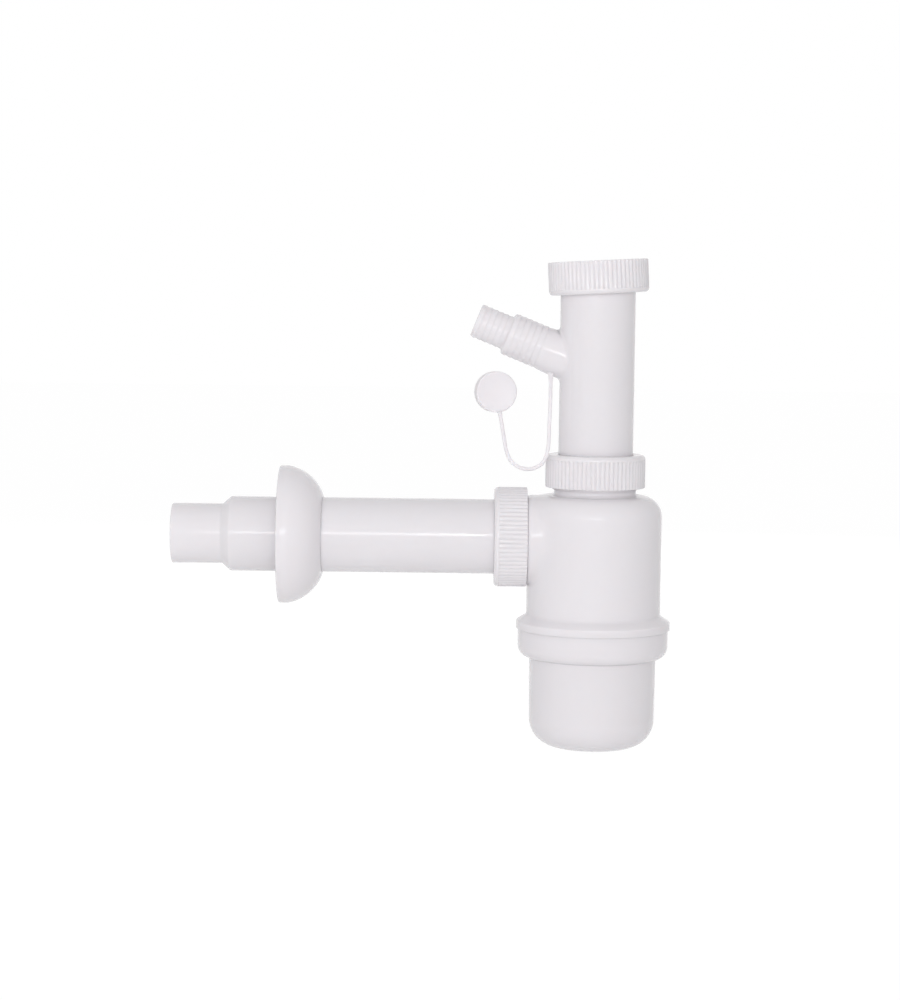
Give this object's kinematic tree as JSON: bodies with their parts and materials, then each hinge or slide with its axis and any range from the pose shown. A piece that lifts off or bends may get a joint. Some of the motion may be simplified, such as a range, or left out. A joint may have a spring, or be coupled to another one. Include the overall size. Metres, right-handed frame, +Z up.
{
  "type": "bottle trap",
  "caption": "White plastic bottle trap for a basin with a barbed hose branch, tethered cap, unscrewing cup, reducing outlet pipe and domed wall rosette.",
  "frame": {"origin": "centre of the waste nut's open end, where the basin's waste screws in", "axes": "+Z up along the tail pipe, the outlet pipe leaves towards -X, the front is -Y"},
  "size_m": [0.2677, 0.0826, 0.2609],
  "materials": {
    "white_plastic": "gloss",
    "soft_plastic": "satin",
    "rubber": "matte"
  },
  "bodies": {
    "tail_pipe": {"tail_pipe": "white_plastic", "hose_branch": "white_plastic", "waste_washer": "rubber", "nozzle_cap": "soft_plastic"},
    "trap_body": {"trap_body": "white_plastic", "dip_tube": "white_plastic"},
    "waste_nut": {"waste_nut": "white_plastic"},
    "neck_nut": {"neck_nut": "white_plastic"},
    "neck_slip_ring": {"neck_slip_ring": "soft_plastic"},
    "neck_seal": {"neck_seal": "rubber"},
    "cup_seal": {"cup_seal": "rubber"},
    "cup": {"cup": "white_plastic"},
    "outlet_nut": {"outlet_nut": "white_plastic"},
    "outlet_slip_ring": {"outlet_slip_ring": "soft_plastic"},
    "outlet_seal": {"outlet_seal": "rubber"},
    "outlet_pipe": {"outlet_pipe": "white_plastic"},
    "wall_rosette": {"wall_rosette": "white_plastic"}
  },
  "joints": [
    {"name": "waste_nut_turn", "type": "hinge", "parent": "tail_pipe", "child": "waste_nut", "pos_m": [0, 0, 0], "axis": [0, 0, 1], "continuous": true},
    {"name": "height_slide", "type": "slide", "parent": "tail_pipe", "child": "neck_seal", "axis": [0, 0, 1], "range_m": [-0.03, 0.02], "deforming": ["nozzle_cap"]},
    {"name": "bottle_swivel", "type": "hinge", "parent": "neck_seal", "child": "trap_body", "pos_m": [0, 0, -0.1253], "axis": [0, 0, 1], "continuous": true},
    {"name": "neck_nut_travel", "type": "slide", "parent": "trap_body", "child": "neck_slip_ring", "axis": [0, 0, 1], "range_m": [0, 0.0105]},
    {"name": "neck_nut_turn", "type": "hinge", "parent": "neck_slip_ring", "child": "neck_nut", "pos_m": [0, 0, -0.1093], "axis": [0, 0, 1], "range_deg": [0, 1620]},
    {"name": "cup_travel", "type": "slide", "parent": "trap_body", "child": "cup_seal", "axis": [0, 0, -1], "range_m": [0, 0.0101]},
    {"name": "cup_turn", "type": "hinge", "parent": "cup_seal", "child": "cup", "pos_m": [0, 0, -0.2071], "axis": [0, 0, -1], "range_deg": [0, 900]},
    {"name": "outlet_nut_travel", "type": "slide", "parent": "trap_body", "child": "outlet_slip_ring", "axis": [-1, 0, 0], "range_m": [0, 0.0105]},
    {"name": "outlet_nut_turn", "type": "hinge", "parent": "outlet_slip_ring", "child": "outlet_nut", "pos_m": [-0.048, 0, -0.1482], "axis": [-1, 0, 0], "range_deg": [0, 1620]},
    {"name": "outlet_pipe_turn", "type": "hinge", "parent": "trap_body", "child": "outlet_seal", "pos_m": [-0.048, 0, -0.1482], "axis": [1, 0, 0], "continuous": true},
    {"name": "outlet_pipe_slide", "type": "slide", "parent": "outlet_seal", "child": "outlet_pipe", "axis": [1, 0, 0], "range_m": [-0.013, 0.004]},
    {"name": "rosette_slide", "type": "slide", "parent": "outlet_pipe", "child": "wall_rosette", "axis": [1, 0, 0], "range_m": [-0.042, 0.075]}
  ],
  "couplings": [
    {"joint": "neck_nut_travel", "follows": "neck_nut_turn", "m_per_rad": 0.00036749},
    {"joint": "cup_travel", "follows": "cup_turn", "m_per_rad": 0.00063662},
    {"joint": "outlet_nut_travel", "follows": "outlet_nut_turn", "m_per_rad": 0.00036749}
  ]
}
